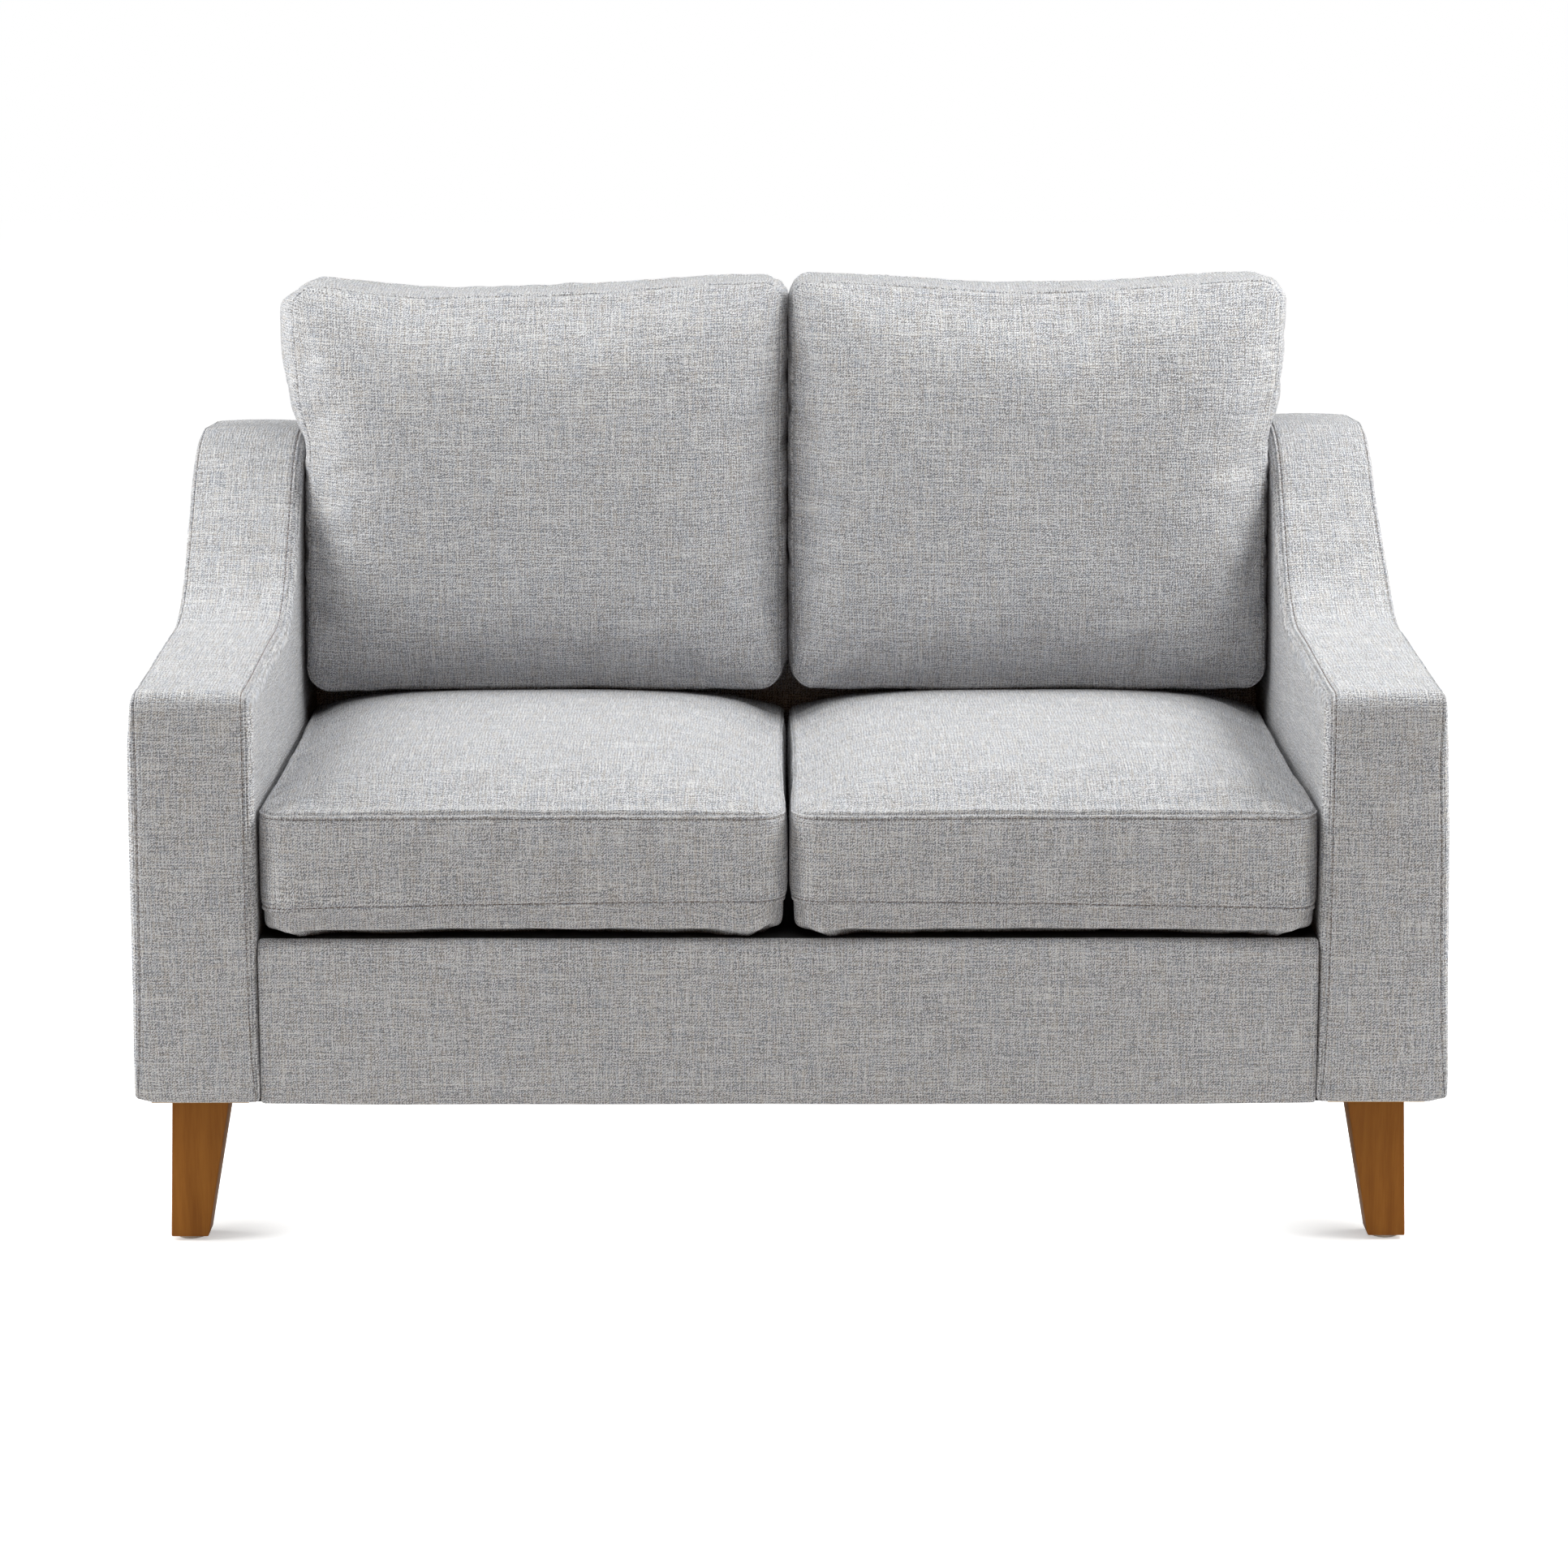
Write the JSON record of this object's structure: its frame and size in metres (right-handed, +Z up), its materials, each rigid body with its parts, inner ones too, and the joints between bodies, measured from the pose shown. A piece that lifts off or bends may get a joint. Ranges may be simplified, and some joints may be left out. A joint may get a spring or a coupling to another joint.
{
  "type": "settee",
  "caption": "High back settee with scooped track arms, loose boxed seat and back cushions, an upholstered front rail and tapered timber legs.",
  "frame": {"origin": "on the floor under the middle of the settee's width and depth", "axes": "+X to the sitter's left as the front is faced, along the settee's length; -Y to the front; +Z up"},
  "size_m": [1.35, 0.8, 0.96],
  "materials": {
    "body_fabric": "melange twill weave, light grey with pale and blue-grey slubs",
    "cushion_fabric": "melange twill weave, light grey with pale and blue-grey slubs",
    "cushion_core": "foam block in a cream stockinet",
    "black_cloth": "woven black lining and elastic webbing",
    "frame_timber": "sawn and planed",
    "plywood": "bare plywood",
    "leg_wood": "satin mid-brown stain",
    "steel": "zinc plated",
    "zip_metal": "dull nickel",
    "glide_plastic": "pale nylon"
  },
  "bodies": {
    "frame": {"arm_cover_left": "body_fabric", "arm_cover_right": "body_fabric", "arm_outer_panel_left": "plywood", "arm_outer_panel_right": "plywood", "arm_inner_panel_left": "plywood", "arm_inner_panel_right": "plywood", "arm_base_board_left": "frame_timber", "arm_base_board_right": "frame_timber", "arm_front_post_left": "frame_timber", "arm_front_post_right": "frame_timber", "arm_rear_post_left": "frame_timber", "arm_rear_post_right": "frame_timber", "arm_top_boards_left": "frame_timber", "arm_top_boards_right": "frame_timber", "seat_front_rail": "frame_timber", "seat_back_rail": "frame_timber", "seat_centre_brace": "frame_timber", "seat_corner_blocks": "frame_timber", "seat_springs": "steel", "spring_clips": "steel", "spring_tie_rods": "steel", "seat_deck": "black_cloth", "back_post_left": "frame_timber", "back_post_right": "frame_timber", "back_top_rail": "frame_timber", "back_lower_rail": "frame_timber", "back_centre_stile": "frame_timber", "outside_back_rail": "frame_timber", "back_webbing": "black_cloth", "front_rail_cover": "body_fabric", "inside_back_cover": "body_fabric", "outside_back_cover": "body_fabric", "dust_cover": "black_cloth", "leg_front_left": "leg_wood", "leg_front_right": "leg_wood", "leg_rear_left": "leg_wood", "leg_rear_right": "leg_wood", "leg_bolts": "steel", "tee_nuts": "steel", "foot_glides": "glide_plastic", "frame_bolts": "steel"},
    "seat_cushion_left": {"seat_cushion_cover_left": "cushion_fabric", "seat_cushion_core_left": "cushion_core", "seat_cushion_zip_left": "zip_metal"},
    "seat_cushion_right": {"seat_cushion_cover_right": "cushion_fabric", "seat_cushion_core_right": "cushion_core", "seat_cushion_zip_right": "zip_metal"},
    "back_cushion_left": {"back_cushion_cover_left": "cushion_fabric", "back_cushion_core_left": "cushion_core", "back_cushion_zip_left": "zip_metal"},
    "back_cushion_right": {"back_cushion_cover_right": "cushion_fabric", "back_cushion_core_right": "cushion_core", "back_cushion_zip_right": "zip_metal"}
  },
  "joints": [
    {"name": "seat_cushion_left_pull", "type": "slide", "parent": "frame", "child": "seat_cushion_left", "axis": [0, -1, 0], "range_m": [0, 0.65]},
    {"name": "seat_cushion_right_pull", "type": "slide", "parent": "frame", "child": "seat_cushion_right", "axis": [0, -1, 0], "range_m": [0, 0.65]},
    {"name": "back_cushion_left_lift", "type": "slide", "parent": "frame", "child": "back_cushion_left", "axis": [0, 0, 1], "range_m": [0, 0.5]},
    {"name": "back_cushion_right_lift", "type": "slide", "parent": "frame", "child": "back_cushion_right", "axis": [0, 0, 1], "range_m": [0, 0.5]}
  ]
}
